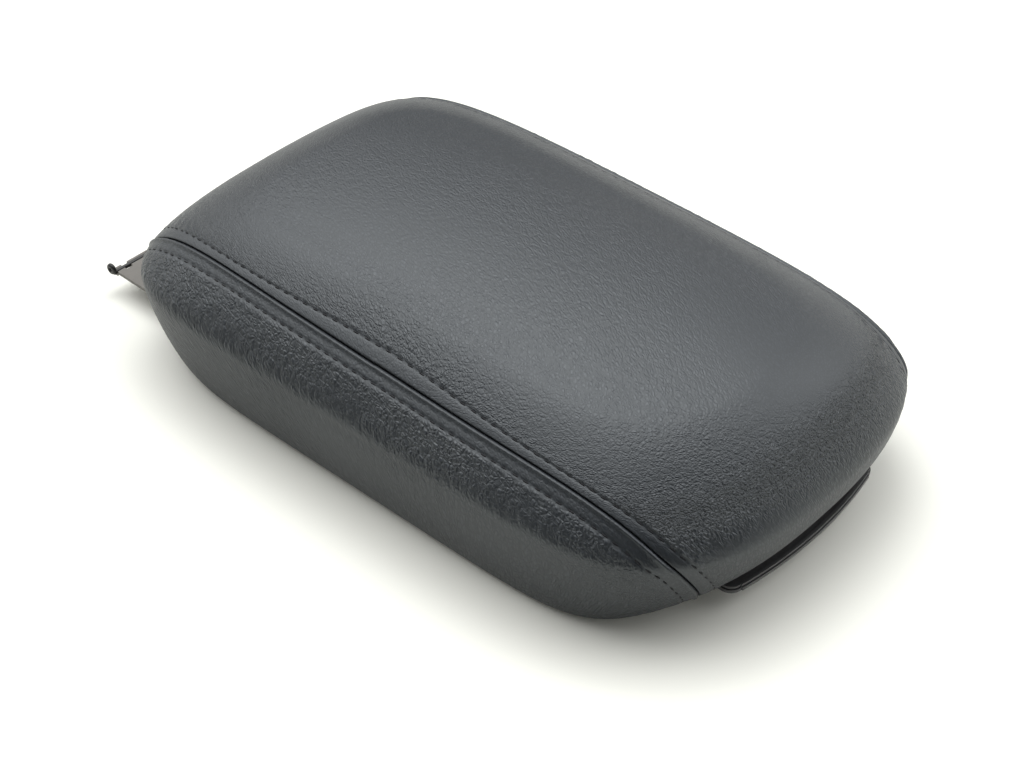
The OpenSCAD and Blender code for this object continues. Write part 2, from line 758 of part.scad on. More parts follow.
// Lever in one moulding: finger lip with its wall and bead, neck with two ribs, barrel and hook
module latch_lever() {
    neck = neck_half;
    tray_z = lip_z + lip_floor_t;
    groove_h = 0.4;
    groove_in = 0.7;
    bead_in = 0.4;
    color([0.08, 0.08, 0.09])
        in_place()
            translate([latch_x, 0, 0])
                difference() {
                    union() {
                        translate([0, 0, lip_z])
                            linear_extrude(lip_floor_t)
                                crescent(0);
                        difference() {
                            union() {
                                translate([0, 0, lip_z])
                                    linear_extrude(lip_wall_h)
                                        crescent(groove_in);
                                translate([0, 0, tray_z + groove_h])
                                    linear_extrude(lip_wall_h - lip_floor_t - groove_h)
                                        crescent(bead_in);
                            }
                            translate([0, 0, tray_z])
                                linear_extrude(lip_wall_h)
                                    crescent(lip_wall_t);
                            translate([-lip_half_w - 1, -lip_end + 0.5, tray_z])
                                cube([2 * lip_half_w + 2, lip_end, lip_wall_h]);
                        }
                        rotate([90, 0, 90])
                            translate([0, 0, -neck])
                                linear_extrude(2 * neck)
                                    polygon([[-lip_back - 5, lip_z + 0.2], [-lip_back, lip_z + 0.2],
                                        [-pivot_y - 1, pivot_z - barrel_r], [-pivot_y - barrel_r, pivot_z],
                                        [-pivot_y - barrel_r - 0.6, pivot_z - 3],
                                        [-lip_back - 4, tray_z + 1]]);
                        for (x = [-neck, neck - rib_t])
                            rotate([90, 0, 90])
                                translate([0, 0, x])
                                    linear_extrude(rib_t)
                                        polygon([[-lip_back - 10, lip_z + 1], [-lip_back, lip_z + 1],
                                            [-pivot_y + 1, pivot_z - 4], [-pivot_y - barrel_r, pivot_z + 1],
                                            [-lip_back - 3, lip_z + 3.6]]);
                        // Ledge for the spring's front leg
                        translate([neck - 1, -pivot_y - 10.2, pivot_z - 8.6])
                            cube([5.6, 4.4, 3]);
                        translate([-neck - 1.5, -pivot_y, pivot_z])
                            rotate([0, 90, 0])
                                cylinder(r = barrel_r, h = 2 * neck + 3);
                        rotate([90, 0, 90])
                            translate([0, 0, -hook_half])
                                linear_extrude(2 * hook_half)
                                    hook_profile();
                    }
                    translate([-40, -pivot_y, pivot_z])
                        rotate([0, 90, 0])
                            cylinder(d = pin_d + 2 * pin_clear, h = 80);
                }
}

// Side view of the hook: straight arm, flat catch on top of the nose and a slope to ride over the striker
module hook_profile() {
    back = -pivot_y + 1.6;
    polygon([[back - 4, base_z + 1.4], [back, base_z + 1.4], [back + hook_reach, pad_z + 4.4],
        [back + hook_reach, pad_z + 6], [back, pad_z + 6.4], [back, pivot_z - 2], [back - 4, pivot_z - 2]]);
}

module latch_pin() {
    half = cheek_x + cheek_t + 2.6;
    color("silver")
        in_place()
            translate([latch_x - half, -pivot_y, pivot_z])
                rotate([0, 90, 0])
                    cylinder(d = pin_d, h = 2 * half);
}

// Spring clips pressed on the pin outside the cheeks
module latch_pin_clips() {
    color("silver")
        in_place()
            for (side = [-1, 1])
                translate([latch_x + side * (cheek_x + cheek_t + 0.7) - 0.5, -pivot_y, pivot_z])
                    rotate([0, 90, 0])
                        difference() {
                            cylinder(d = pin_d + 5, h = 1);
                            translate([0, 0, -1])
                                cylinder(d = pin_d + 0.04, h = 3);
                        }
}

// Torsion spring round the pin: a coil, a leg up to the deck and a leg along the neck
module latch_spring() {
    r = pin_d / 2 + 0.5 + spring_wire / 2;
    pitch = spring_wire + 0.15;
    steps = 14;
    n = spring_turns * steps;
    x0 = neck_half + 2.6;
    tangent = [sin(135), -cos(135)];
    start = [-pivot_y + r * cos(135), pivot_z + r * sin(135)];
    front_leg = start - 8 * tangent;
    deck_leg = start + (deck_z - fit - spring_wire / 2 - start[1]) / tangent[1] * tangent;
    rings = concat(
        [[x0, front_leg[0], front_leg[1], tangent[0], tangent[1]]],
        [for (i = [0 : n]) let (a = 135 - i * 360 / steps)
            [x0 + pitch * i / steps, -pivot_y + r * cos(a), pivot_z + r * sin(a), sin(a), -cos(a)]],
        [[x0 + pitch * spring_turns, deck_leg[0], deck_leg[1], tangent[0], tangent[1]]]);
    color("silver")
        in_place()
            translate([latch_x, 0, 0])
                coil_tube(rings, 8, spring_wire / 2);
}

// Tube of a given radius through a list of places, each with its direction
module coil_tube(rings, sides, r) {
    n = len(rings);
    points = [for (k = [0 : n - 1])
        let (c = [rings[k][0], rings[k][1], rings[k][2]], t = [0, rings[k][3], rings[k][4]],
            u = [1, 0, 0], v = cross(u, t))
        each [for (j = [0 : sides - 1]) c + r * (cos(j * 360 / sides) * u + sin(j * 360 / sides) * v)]];
    sides_faces = [for (k = [0 : n - 2], j = [0 : sides - 1])
        let (a = k * sides + j, b = k * sides + (j + 1) % sides)
        each [[a, b, b + sides], [a, b + sides, a + sides]]];
    polyhedron(points = points, faces = concat(sides_faces,
        [[for (j = [sides - 1 : -1 : 0]) j]], [[for (j = [0 : sides - 1]) (n - 1) * sides + j]]));
}

// Soft pads that the lever falls back on
module latch_buffers() {
    color("black")
        in_place()
            for (x = [-1, 1])
                translate([latch_x + x * buffer_x - buffer_w / 2, -buffer_y, base_z + sole_t])
                    cube([buffer_w, buffer_l, lip_z - base_z - sole_t - fit]);
}

cover_top_panel();
cover_left_panel();
cover_right_panel();
foam_pad();
pad_carrier();
base_panel();
base_screws();
front_bumpers();
rear_bumpers();
hinge_leaf();
hinge_screws();
hinge_nut_plate();
hinge_rod();
latch_housing();
latch_screws();
latch_lever();
latch_pin();
latch_pin_clips();
latch_spring();
latch_buffers();
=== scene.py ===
import math
import bpy
import numpy as np
from mathutils import Matrix, Vector


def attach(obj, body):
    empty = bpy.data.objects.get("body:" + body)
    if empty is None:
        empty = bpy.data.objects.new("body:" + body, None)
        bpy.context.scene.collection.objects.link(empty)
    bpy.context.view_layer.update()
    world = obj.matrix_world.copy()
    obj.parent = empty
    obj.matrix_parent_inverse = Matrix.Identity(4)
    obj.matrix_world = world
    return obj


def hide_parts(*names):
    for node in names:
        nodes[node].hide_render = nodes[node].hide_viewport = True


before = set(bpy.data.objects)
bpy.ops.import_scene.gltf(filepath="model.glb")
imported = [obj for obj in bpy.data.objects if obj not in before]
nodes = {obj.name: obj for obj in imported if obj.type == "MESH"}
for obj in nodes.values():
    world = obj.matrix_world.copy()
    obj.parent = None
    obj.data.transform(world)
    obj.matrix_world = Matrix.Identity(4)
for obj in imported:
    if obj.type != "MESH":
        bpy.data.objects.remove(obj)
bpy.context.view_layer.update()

# Camera: the lid is seen from its front left and 41 degrees above, 745 mm away, through a long lens.
# It lies on its bumpers, which hold the pad's lower edge 2.2 mm above the ground.
pad_middle = np.array([0.0, -9.344, 2.2])
turn, tilt = math.radians(-47.539), math.radians(40.773)
aim_h, aim_right, aim_up, camera_distance = 30.0, -1.649, -25.042, 745.02
picture_pixels, focal_pixels, film_width = 1024, 1900, 36.0


def put(name, data):
    """Puts a mesh, a camera's data or a lamp's data into the scene as an object."""
    piece = bpy.data.objects.new(name, data)
    bpy.context.scene.collection.objects.link(piece)
    return piece


camera_right = np.array([math.cos(turn), math.sin(turn), 0.0])
camera_back = np.array([math.sin(turn) * math.cos(tilt), -math.cos(turn) * math.cos(tilt), math.sin(tilt)])
camera_up = np.cross(camera_back, camera_right)
aim_point = pad_middle + np.array([0, 0, aim_h]) + aim_right * camera_right + aim_up * camera_up
camera_place = (aim_point + camera_distance * camera_back) / 1000
camera_data = bpy.data.cameras.new("camera")
camera_data.sensor_width = film_width
camera_data.lens = focal_pixels / picture_pixels * film_width
camera_data.clip_start, camera_data.clip_end = 0.05, 20.0
camera = put("camera", camera_data)
camera_axes = np.stack([camera_right, camera_up, camera_back, camera_place], axis=1)
camera.matrix_world = Matrix([*camera_axes.tolist(), [0, 0, 0, 1]])
bpy.context.scene.camera = camera


# Leather cover: three panels of black grained leather, sewn together along the lid's two long edges and
# pulled tight over moulded foam, with the hem glued under the carrier. Sizes are in millimetres from the
# middle of the pad's lower edge, and a pair of values is for the latch end and the hinge end.
half_w, end_len = 92.0, (151.6, 144.5)
round_x, round_y = (2.43, 5.21), (6.42, 5.62)
taper, taper_len = 0.0362, 150
crown_h, side_fall, end_fall, end_fall_pow = 69.81, 12.32, (6.1, 6.78), 2.5
belt_h, belt_slope = 34.76, 0.0118
shoulder_side, shoulder_end, upper_pow = 39.7, (37.2, 42.4), 1.602
turn_side, turn_end, lower_pow = 4.41, 30.65, 1.727
core_h = 30.0


def end_share(ex, ey, ahead):
    """How much of the draw-in is the end's and not the side's, where ex and ey are the shares of the half
    width and of the length: a power of ey times one less the 8th power of ex."""
    return ey ** np.where(ahead, 4.0, 2.5) * (1 - ex ** 8)


def pad_holds(p):
    """True for points inside the pad. At each height the plan is a superellipse, drawn in from the widest
    one: above the widest line by a rounded shoulder, below it by a turn that is large at the ends. The
    top falls with the square of x and with a power of y."""
    x, y, z = np.abs(p[..., 0]), p[..., 1], p[..., 2]
    ahead = y < 0
    length = np.where(ahead, *end_len)
    pow_x, pow_y = np.where(ahead, *round_x), np.where(ahead, *round_y)
    belt = belt_h - belt_slope * y
    fall = np.where(ahead, *end_fall) * (np.abs(y) / length) ** end_fall_pow
    top = crown_h - side_fall * (x / half_w) ** 2 - fall
    above = z > belt
    rise = np.clip(np.where(above, (z - belt) / (top - belt), 1 - z / belt), 0, 1)
    power = np.where(above, upper_pow, lower_pow)
    share = 1 - (1 - rise ** power) ** (1 / power)
    side = np.where(above, shoulder_side, turn_side) * share
    end = np.where(above, np.where(ahead, *shoulder_end), turn_end) * share
    near, far = np.zeros_like(x), np.ones_like(x)
    for _ in range(20):
        ey = (near + far) / 2
        ex = (1 - ey ** pow_y) ** (1 / pow_x)
        drawn_in = side + (end - side) * end_share(ex, ey, ahead)
        beyond = ey * (length - drawn_in) > np.abs(y)
        near, far = np.where(beyond, near, ey), np.where(beyond, ey, far)
    width = ex * (half_w - drawn_in) * (1 + taper * y / taper_len)
    return (x < width) & (z < top) & (z > 0) & (far < 1)


def reach(start, way):
    """Where rays from inside the pad leave it, found by halving a distance of 260 mm 26 times."""
    near, far = np.zeros(way.shape[:-1]), np.full(way.shape[:-1], 260.0)
    for _ in range(26):
        middle = (near + far) / 2
        inside = pad_holds(start + middle[..., None] * way)
        near, far = np.where(inside, middle, near), np.where(inside, far, middle)
    return start + near[..., None] * way


def across(angle, x):
    """Points of the surface in planes of constant x, by their angle round the line through the core."""
    angle, x = np.broadcast_arrays(angle, x)
    way = np.stack([np.zeros_like(x), -np.cos(angle), np.sin(angle)], axis=-1)
    return reach(np.stack([x, 0 * x, 0 * x + core_h], axis=-1), way)


def lengths(points, axis=0):
    """Distance run along rows of points, starting at 0."""
    step = np.linalg.norm(np.diff(points, axis=axis), axis=-1)
    return np.insert(np.cumsum(step, axis=axis), 0, 0, axis=axis)


# The seam is 75.3 mm from the middle line halfway along the pad. It leans in towards the hinge end, comes
# in towards both ends, and comes in further below a height there.
seam_middle, seam_lean, seam_in = 75.3, 1.3, (7.6, 6.8)
seam_drop, seam_drop_h, seam_drop_pow = (26, 13.5), (40.5, 34.8), (1.08, 1.25)


def seam_x(p):
    """The seam's distance from the middle: its value there, less a share of y, a cube of y, and a power of
    the drop below a height, which starts softly in front and at once behind."""
    y, z = p[..., 1], p[..., 2]
    ahead = y < 0
    t = y / np.where(ahead, *end_len)
    below = 1 - z / np.where(ahead, *seam_drop_h)
    below = np.where(ahead, (below + np.sqrt(below ** 2 + 0.01)) / 2, np.clip(below, 0, 1))
    drop = np.where(ahead, *seam_drop) * below ** np.where(ahead, *seam_drop_pow)
    return seam_middle - seam_lean * t - np.where(ahead, *seam_in) * np.abs(t) ** 3 - drop


# It runs from under the latch end over the top to under the hinge end. Its line is found by going over
# it 14 times, and the panels have a row of points at each even step along it.
seam_angle = np.linspace(-0.262, math.pi + 0.276, 1200)
x_at = np.full_like(seam_angle, 72.0)
for _ in range(14):
    seam_line = across(seam_angle, x_at)
    x_at = 0.3 * x_at + 0.7 * seam_x(seam_line)
rows = 440
run = lengths(seam_line)
row_at = np.linspace(0, run[-1], rows)
row_angle = np.interp(row_at, run, seam_angle)
row_x = np.interp(row_at, run, x_at)
row_seam = across(row_angle, row_x)
row_y = row_seam[:, 1]

# Distances from the seam at which the panels have a column of points: close in the groove and at the
# stitches, wider on the plain leather.
near_seam = np.array([0, 0.25, 0.5, 0.8, 1.2, 1.7, 2.4, 3.3, 4.3, 5.1, 5.7, 6.3, 6.9, 7.5, 8.3, 9.4, 11.0])
near_end = near_seam[-1]

# The top panel goes across from seam to seam.
coarse = np.linspace(-1, 1, 81)
strip_run = lengths(across(row_angle[:, None], coarse[None, :] * row_x[:, None]), axis=1)
top_wide = strip_run[:, -1]
plain = np.linspace(0, 1, 64)[1:-1]
top_col = np.concatenate([near_seam * np.ones((rows, 1)),
    near_end + plain * (top_wide[:, None] - 2 * near_end), top_wide[:, None] - near_seam[::-1]], axis=1)
top_x = np.stack([np.interp(want, have, coarse * half)
    for want, have, half in zip(top_col, strip_run, row_x)])
top_skin = across(row_angle[:, None], top_x)

# The right side panel runs from the same seam, down the side and under the lid to the edge of its hem,
# which is 9.5 mm in from the pad's lower edge and ends where the seam meets it.
hem_in, hem_h, hem_end_x, hem_end_y = 9.5, 0.001, 50.0, 90
bend = np.radians(np.linspace(-90, 90, 2001))[1:-1]
ahead = bend < 0
ex = np.cos(bend) ** (2 / np.where(ahead, *round_x))
ey = np.abs(np.sin(bend)) ** (2 / np.where(ahead, *round_y))
drawn_in = turn_side + (turn_end - turn_side) * end_share(ex, ey, ahead) + hem_in
hem_y = np.where(ahead, -ey, ey) * (np.where(ahead, *end_len) - drawn_in)
hem_x = ex * (half_w - drawn_in) * (1 + taper * hem_y / taper_len)
hem = np.stack([hem_x, hem_y, 0 * hem_y + hem_h], axis=1)
hem = hem[(hem_x > hem_end_x) | (np.abs(hem_y) < hem_end_y)]
hem = np.concatenate([row_seam[:1], hem, row_seam[-1:]])
hem_run = lengths(hem)
row_hem = np.stack([np.interp(row_at / run[-1] * hem_run[-1], hem_run, hem[:, k]) for k in range(3)], axis=1)

# Its rays start inside the pad, 18 mm from the middle line and 28 mm high, a little over halfway out to
# the seam and the hem along the lid.
inner = np.stack([np.full(rows, 18.0), 0.29 * (row_y + row_hem[:, 1]), np.full(rows, 28.0)], axis=1)


def down_side(part):
    """Rays from inside the pad through the straight line from the seam to the edge of the hem."""
    target = row_seam[:, None] + part[..., None] * (row_hem - row_seam)[:, None]
    way = target - inner[:, None]
    return reach(inner[:, None] + 0 * way, way / np.linalg.norm(way, axis=-1, keepdims=True))


# Where the panel is narrower than 40 mm, towards its tips, the columns near the seam close up.
coarse_side = np.linspace(0, 1, 61)
strip_run = lengths(down_side(np.broadcast_to(coarse_side, (rows, 61))), axis=1)
side_wide = strip_run[:, -1]
squeeze = np.clip(side_wide / 40, 0, 1)
plain = np.linspace(0, 1, 50)[1:]
side_col = np.concatenate([near_seam * squeeze[:, None],
    near_end * squeeze[:, None] + plain * (side_wide - near_end * squeeze)[:, None]], axis=1)
side_part = np.stack([np.interp(want, have, coarse_side) for want, have in zip(side_col, strip_run)])
side_skin = down_side(side_part)
side_skin[:, 0] = row_seam


def outward(grid):
    """Unit normals of a grid of points: the sum of the area vectors of the faces round each point."""
    face = np.cross(grid[1:, 1:] - grid[:-1, :-1], grid[:-1, 1:] - grid[1:, :-1])
    total = np.zeros_like(grid)
    for a in (slice(None, -1), slice(1, None)):
        for b in (slice(None, -1), slice(1, None)):
            total[a, b] += face
    return total / np.maximum(np.linalg.norm(total, axis=-1, keepdims=True), 1e-12)


def facing_out(normal, points, core):
    """Normals turned so that they point away from a place inside the pad."""
    return normal * np.sign((normal * (points - core)).sum(-1, keepdims=True))


def soft_step(x):
    """0 below 0, 1 above 1, and three times the square less twice the cube between."""
    x = np.clip(x, 0, 1)
    return x * x * (3 - 2 * x)


def mound(at, middle, width):
    """1 at the middle, and e to the minus square of the distance from it over the width."""
    return np.exp(-((at - middle) / width) ** 2)


stitch_pitch, stitch_in, top_lip, side_lip = 4.9, 6.4, 0.04, 0.7


def seam_profile(distance, along, lip):
    """Height over the plain surface near a seam: a narrow groove, a rolled lip beside it, a flat band as
    far as the stitches, and a fold where they pull, deepest at each needle hole."""
    groove = -1.2 * np.exp(-(distance / 0.26) ** 1.6)
    roll = lip * mound(distance, 1.25, 0.62) + 0.14 * mound(distance, 3.2, 2.2)
    needle = 0.5 + 0.5 * np.cos(2 * np.pi * along / stitch_pitch)
    valley = -(0.2 + 0.3 * needle ** 3) * mound(distance, stitch_in, 0.55)
    puff = (0.07 + 0.12 * (1 - needle)) * mound(distance, stitch_in + 1.7, 0.9)
    return groove + roll + valley + puff


# On the side the profile fades where the panel is narrower than 12 mm, and its stitches stand halfway
# between those of the top.
top_core, side_core = [0, 0, core_h], [20, 0, 28]
top_normal = facing_out(outward(top_skin), top_skin, top_core)
side_normal = facing_out(outward(side_skin), side_skin, side_core)
along = row_at[:, None]
to_seam = np.minimum(top_col, top_wide[:, None] - top_col)
top_height = seam_profile(to_seam, along, top_lip)
side_height = seam_profile(side_col, along + 0.5 * stitch_pitch, side_lip)
side_height *= np.clip(side_wide / 12, 0, 1)[:, None]


def ripples(u, v, seed):
    """Uneven low waves: a sum of 24 sines whose directions and phases come from a fixed seed."""
    rng = np.random.default_rng(seed)
    turns, phases = rng.uniform(0, np.pi, 24), rng.uniform(0, 2 * np.pi, 24)
    waves = sum(np.sin(u * np.cos(a) + v * np.sin(a) + b) for a, b in zip(turns, phases))
    return waves / math.sqrt(24)


def on_hide(rate, at):
    """Distance run on the flat hide: the rate times each step of the distance run on the pad, summed."""
    step = np.diff(at, axis=-1) * 0.5 * (rate[..., 1:] + rate[..., :-1])
    return np.insert(np.cumsum(step, axis=-1), 0, 0, axis=-1)


# Where the leather is pulled over an edge it stretches: there the flat hide advances less per millimetre
# of pad. Next to the seams and just above the front roll it is slack, and its grain is deeper. On the top
# the grain is drawn out along a diagonal, and on the side its lines lean.
pulled = 1 - 0.62 * soft_step((np.abs(row_y) - 112) / 22)
hide_row = on_hide(pulled, row_at)[:, None]
above_roll = mound(row_y, -113, 11)[:, None]
band = soft_step((to_seam - 7.2) / 1.2)
top_relief = 0.11 + band * (0.05 + above_roll + 0.24 * np.exp(-(to_seam - 7) / 10)
    + 0.06 * ripples(along / 14, top_col / 14, 3) * soft_step(to_seam / 20))
diagonal = 0.2 * (hide_row + top_col)
top_hide = 1.4 * np.stack([hide_row - diagonal, top_col - diagonal], axis=-1)

side_lean = 0.49
stretched = 1.2 - 0.75 * soft_step((side_col - 10) / 24)
side_hide = 0.8 * np.stack([along + side_lean * side_col, -on_hide(stretched, side_col)], axis=-1)
high_up, low_down = mound(side_col, 12, 8), soft_step((side_col - 34) / 22)
side_relief = 0.12 + soft_step((side_col - 6.9) / 1.5) * (0.17 + 0.08 * high_up - 0.04 * low_down
    + 0.1 * ripples(along / 12, side_col / 12, 5))

# The same slackness in the shape itself: shallow creases, a few millimetres apart.
creased = soft_step((to_seam - 6.6) / 2) * np.exp(-np.maximum(to_seam - 8, 0) / 8)
top_height += 0.09 * creased * ripples(along / 0.75, top_col / 1.3, 11)
top_height += 0.10 * band * above_roll * ripples(along / 1.1, top_col / 0.9, 13)
side_creased = soft_step((side_col - 6.6) / 2) * (1 - 0.75 * soft_step((side_col - 16) / 22))
side_creased *= np.clip(side_wide / 30, 0, 1)[:, None]
side_height += 0.08 * side_creased * ripples((along + side_lean * side_col) / 0.7, side_col / 1.6, 17)


def in_metres(points, mirror=False):
    """The pad's millimetres as the frame's metres, for the other side of the lid if mirrored."""
    return (points * ([-1, 1, 1] if mirror else [1, 1, 1]) + pad_middle) / 1000


def quads_of(index):
    """The four-sided faces of a grid of point numbers."""
    corners = [index[:-1, :-1], index[1:, :-1], index[1:, 1:], index[:-1, 1:]]
    return np.stack(corners, axis=-1).reshape(-1, 4)


def swelling(name, skin, normal, columns, picked):
    """How far the foam pushes a panel out, in millimetres. 56 rows and the picked columns of it become
    cloth that is held round its edges and blown up for 20 frames. Its movement along the normals is
    spread smoothly over the whole grid and levels off at 0.9 mm. The narrow tips stay as they are."""
    narrow, cloth_rows, last_frame, most = 22, 56, 20, 0.9
    wide = np.flatnonzero(columns[:, -1] > narrow)
    some = np.linspace(wide[0], wide[-1], cloth_rows).round().astype(int)
    rest = in_metres(skin[some][:, picked])
    n, m = rest.shape[:2]
    index = np.arange(n * m).reshape(n, m)
    mesh = bpy.data.meshes.new(name)
    mesh.from_pydata(rest.reshape(-1, 3), [], quads_of(index)[:, [0, 3, 2, 1]].tolist())
    piece = put(name, mesh)
    held = piece.vertex_groups.new(name="held")
    inside = np.zeros((n, m), dtype=bool)
    inside[1:-1, 1:-1] = True
    held.add(index[~inside].tolist(), 1.0, "REPLACE")
    cloth = piece.modifiers.new("pressure", "CLOTH")
    cloth.settings.vertex_group_mass = "held"
    cloth.settings.mass = 0.01
    cloth.settings.use_pressure = True
    cloth.settings.uniform_pressure_force = 4
    cloth.settings.effector_weights.gravity = 0
    cloth.point_cache.frame_start, cloth.point_cache.frame_end = 1, last_frame
    for moment in range(1, last_frame + 1):
        bpy.context.scene.frame_set(moment)
    blown = piece.evaluated_get(bpy.context.evaluated_depsgraph_get()).to_mesh()
    moved = np.empty(n * m * 3, dtype=np.float32)
    blown.vertices.foreach_get("co", moved)
    push = ((moved.reshape(n, m, 3) - rest) * 1000 * normal[some][:, picked]).sum(-1)
    bpy.data.objects.remove(piece)
    push = np.stack([np.interp(np.arange(rows), some, push[:, k], 0, 0) for k in range(m)], axis=1)
    push = np.stack([np.interp(place, place[picked], line) for place, line in zip(columns, push)])
    for _ in range(3):
        push[4:-4] = sum(push[4 + k:rows - 4 + k] for k in range(-4, 5)) / 9
        push[:, 2:-2] = sum(push[:, 2 + k:push.shape[1] - 2 + k] for k in range(-2, 3)) / 5
    return most * np.tanh(np.maximum(push, 0) / most)


# The cloth has a column on each seam, on the hem and 8.3 mm from the seams, and every fourth one between.
beside, top_last, side_last = 14, top_col.shape[1] - 1, side_col.shape[1] - 1
top_picked = np.array([0, beside, *range(beside + 4, top_last - beside, 4), top_last - beside, top_last])
side_picked = np.array([0, beside, *range(beside + 4, side_last - 3, 4), side_last])
top_height += soft_step(to_seam / 5) * swelling("top_cloth", top_skin, top_normal, top_col, top_picked)
side_height += soft_step(side_col / 5) * swelling("side_cloth", side_skin, side_normal, side_col,
    side_picked)

# The openings in the hem: the place and half width of the latch's, the half width of the hinge leaf's,
# the height of their edges, and how far the hem folds in.
latch_x, latch_half_w, latch_h = 2.5, 49.5, 13.9
hinge_half_w, hinge_h, fold_in = 74.0, 8.9, 6.5


def turned_in(grid):
    """The hem over the latch and over the hinge leaf: what would be below the edge of the opening is
    lifted to it, and turns inwards against the carrier by a distance that levels off at 6.5 mm."""
    x, y, z = grid[..., 0], grid[..., 1], grid[..., 2]
    latch = latch_h * soft_step((latch_half_w - np.abs(x - latch_x)) / 6) * (y < -60)
    hinge = hinge_h * soft_step((hinge_half_w - np.abs(x)) / 5) * (y > 60)
    short = np.maximum(latch + hinge - z, 0)
    inwards = fold_in * (1 - np.exp(-short / fold_in))
    return np.stack([x, y - np.sign(y) * inwards, z + short], axis=-1)


top_grid = turned_in(top_skin + top_height[..., None] * top_normal)
side_grid = turned_in(side_skin + side_height[..., None] * side_normal)


def panel(name, grid, hide, relief, mirror):
    """A sewn panel: the grid becomes a mesh. Each point keeps its place on the flat hide before it was
    pulled over the pad, which the grain follows, and how deep the grain is there. A wall of leather
    is added inside."""
    n, m = grid.shape[:2]
    quads = quads_of(np.arange(n * m).reshape(n, m))
    if not mirror:
        quads = quads[:, ::-1]
    mesh = bpy.data.meshes.new(name)
    mesh.vertices.add(n * m)
    mesh.vertices.foreach_set("co", in_metres(grid, mirror).astype(np.float32).ravel())
    mesh.loops.add(quads.size)
    mesh.loops.foreach_set("vertex_index", quads.ravel().astype(np.int32))
    mesh.polygons.add(len(quads))
    mesh.polygons.foreach_set("loop_start", np.arange(0, quads.size, 4, dtype=np.int32))
    mesh.polygons.foreach_set("use_smooth", np.ones(len(quads), dtype=bool))
    mesh.update(calc_edges=True)
    layer = mesh.uv_layers.new(name="hide")
    layer.data.foreach_set("uv", (hide.reshape(-1, 2)[quads.ravel()] / 1000).astype(np.float32).ravel())
    depth = mesh.attributes.new("relief", "FLOAT", "POINT")
    depth.data.foreach_set("value", relief.astype(np.float32).ravel())
    mesh.validate()
    piece = put(name, mesh)
    wall = piece.modifiers.new("leather_thickness", "SOLIDIFY")
    wall.thickness, wall.offset, wall.use_even_offset = 0.0012, -1.0, False
    return piece


def fill_in(tree, node, *in_order, **named):
    """Sets up a shader node: its first inputs in order, then its properties and inputs by name. An input
    takes a plain value, or the output of another node, which is linked to it."""
    entries = list(zip(node.inputs, in_order))
    for key, value in named.items():
        if hasattr(node, key):
            setattr(node, key, value)
        else:
            entries.append((node.inputs[key.replace("_", " ")], value))
    for entry, value in entries:
        if isinstance(value, bpy.types.NodeSocket):
            tree.links.new(value, entry)
        else:
            entry.default_value = value
    return node


def add_node(tree, kind, *in_order, **named):
    """Adds a shader node of a kind and sets it up."""
    return fill_in(tree, tree.nodes.new("ShaderNode" + kind), *in_order, **named)


def two_tones(tree, level, low, high):
    """A colour that goes evenly from one to the other as the level goes from 0 to 1."""
    ramp = add_node(tree, "ValToRGB", level)
    ramp.color_ramp.elements[0].color = (*low, 1)
    ramp.color_ramp.elements[1].color = (*high, 1)
    return ramp.outputs["Color"]


def new_material(name):
    """A material with one plain surface, its tree of nodes and that surface's node."""
    material = bpy.data.materials.new(name)
    material.use_nodes = True
    return material, material.node_tree, material.node_tree.nodes["Principled BSDF"]


def leather(name):
    """Black leather: rounded pebbles about a millimetre across with thin creases between them, wider folds,
    and fine unevenness, summed and deepened by the relief. They are laid out on the flat hide, so that they
    draw out where it is pulled. The creases are duller, and their colour is painted slightly darker as
    painted shade."""
    material, tree, surface = new_material(name)
    hide = add_node(tree, "UVMap", uv_map="hide").outputs["UV"]
    relief = add_node(tree, "Attribute", attribute_name="relief").outputs["Fac"]
    wander = add_node(tree, "TexNoise", hide, Scale=260, Detail=1)
    bent = add_node(tree, "VectorMath", wander.outputs["Color"], (0.0011, 0.0011, 0), hide,
        operation="MULTIPLY_ADD")

    def domes(scale, edge):
        """Uneven cells with rounded edges: 0 on the lines between them and 1 further in."""
        cells = add_node(tree, "TexVoronoi", bent.outputs["Vector"], feature="DISTANCE_TO_EDGE", Scale=scale)
        return add_node(tree, "MapRange", cells.outputs["Distance"], interpolation_type="SMOOTHSTEP",
            From_Max=edge).outputs["Result"]

    pebbles, folds = domes(760, 0.34), domes(330, 0.22)
    uneven = add_node(tree, "TexNoise", hide, Scale=1100, Detail=1)
    both = add_node(tree, "Math", folds, 0.9, pebbles, operation="MULTIPLY_ADD")
    grain = add_node(tree, "Math", uneven.outputs["Fac"], 0.35, both.outputs["Value"],
        operation="MULTIPLY_ADD")
    deep = add_node(tree, "Math", grain.outputs["Value"], relief, operation="MULTIPLY")
    bump = add_node(tree, "Bump", Strength=1.0, Distance=0.0004, Height=deep.outputs["Value"])
    gloss = add_node(tree, "MapRange", pebbles, To_Min=0.48, To_Max=0.42)
    # The base colour is painted darker in the creases between the pebbles: painted shade.
    fill_in(tree, surface, Specular_IOR_Level=0.66, Specular_Tint=(0.92, 0.975, 1.0, 1),
        Base_Color=two_tones(tree, pebbles, (0.010, 0.012, 0.015), (0.015, 0.018, 0.023)),
        Roughness=gloss.outputs["Result"], Normal=bump.outputs["Normal"])
    return material


cover_leather = leather("black_leather")
for name, node, grid, hide, relief, mirror in (
        ("leather_top_panel", "cover_top_panel", top_grid, top_hide, top_relief, False),
        ("leather_right_panel", "cover_right_panel", side_grid, side_hide, side_relief, False),
        ("leather_left_panel", "cover_left_panel", side_grid, side_hide, side_relief, True)):
    piece = panel(name, grid, hide, relief, mirror)
    piece.data.materials.append(cover_leather)
    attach(piece, "lid")
    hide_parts(node)


# Topstitching: a row of polyester thread on each side of both seams, sunk in the leather. Each stitch
# is a short arch of thread whose ends go down through the needle holes.
half_stitch, arch_h, sunk, thread_r, row_end_h = 1.85, 0.2, 0.7, 0.27, 4.0


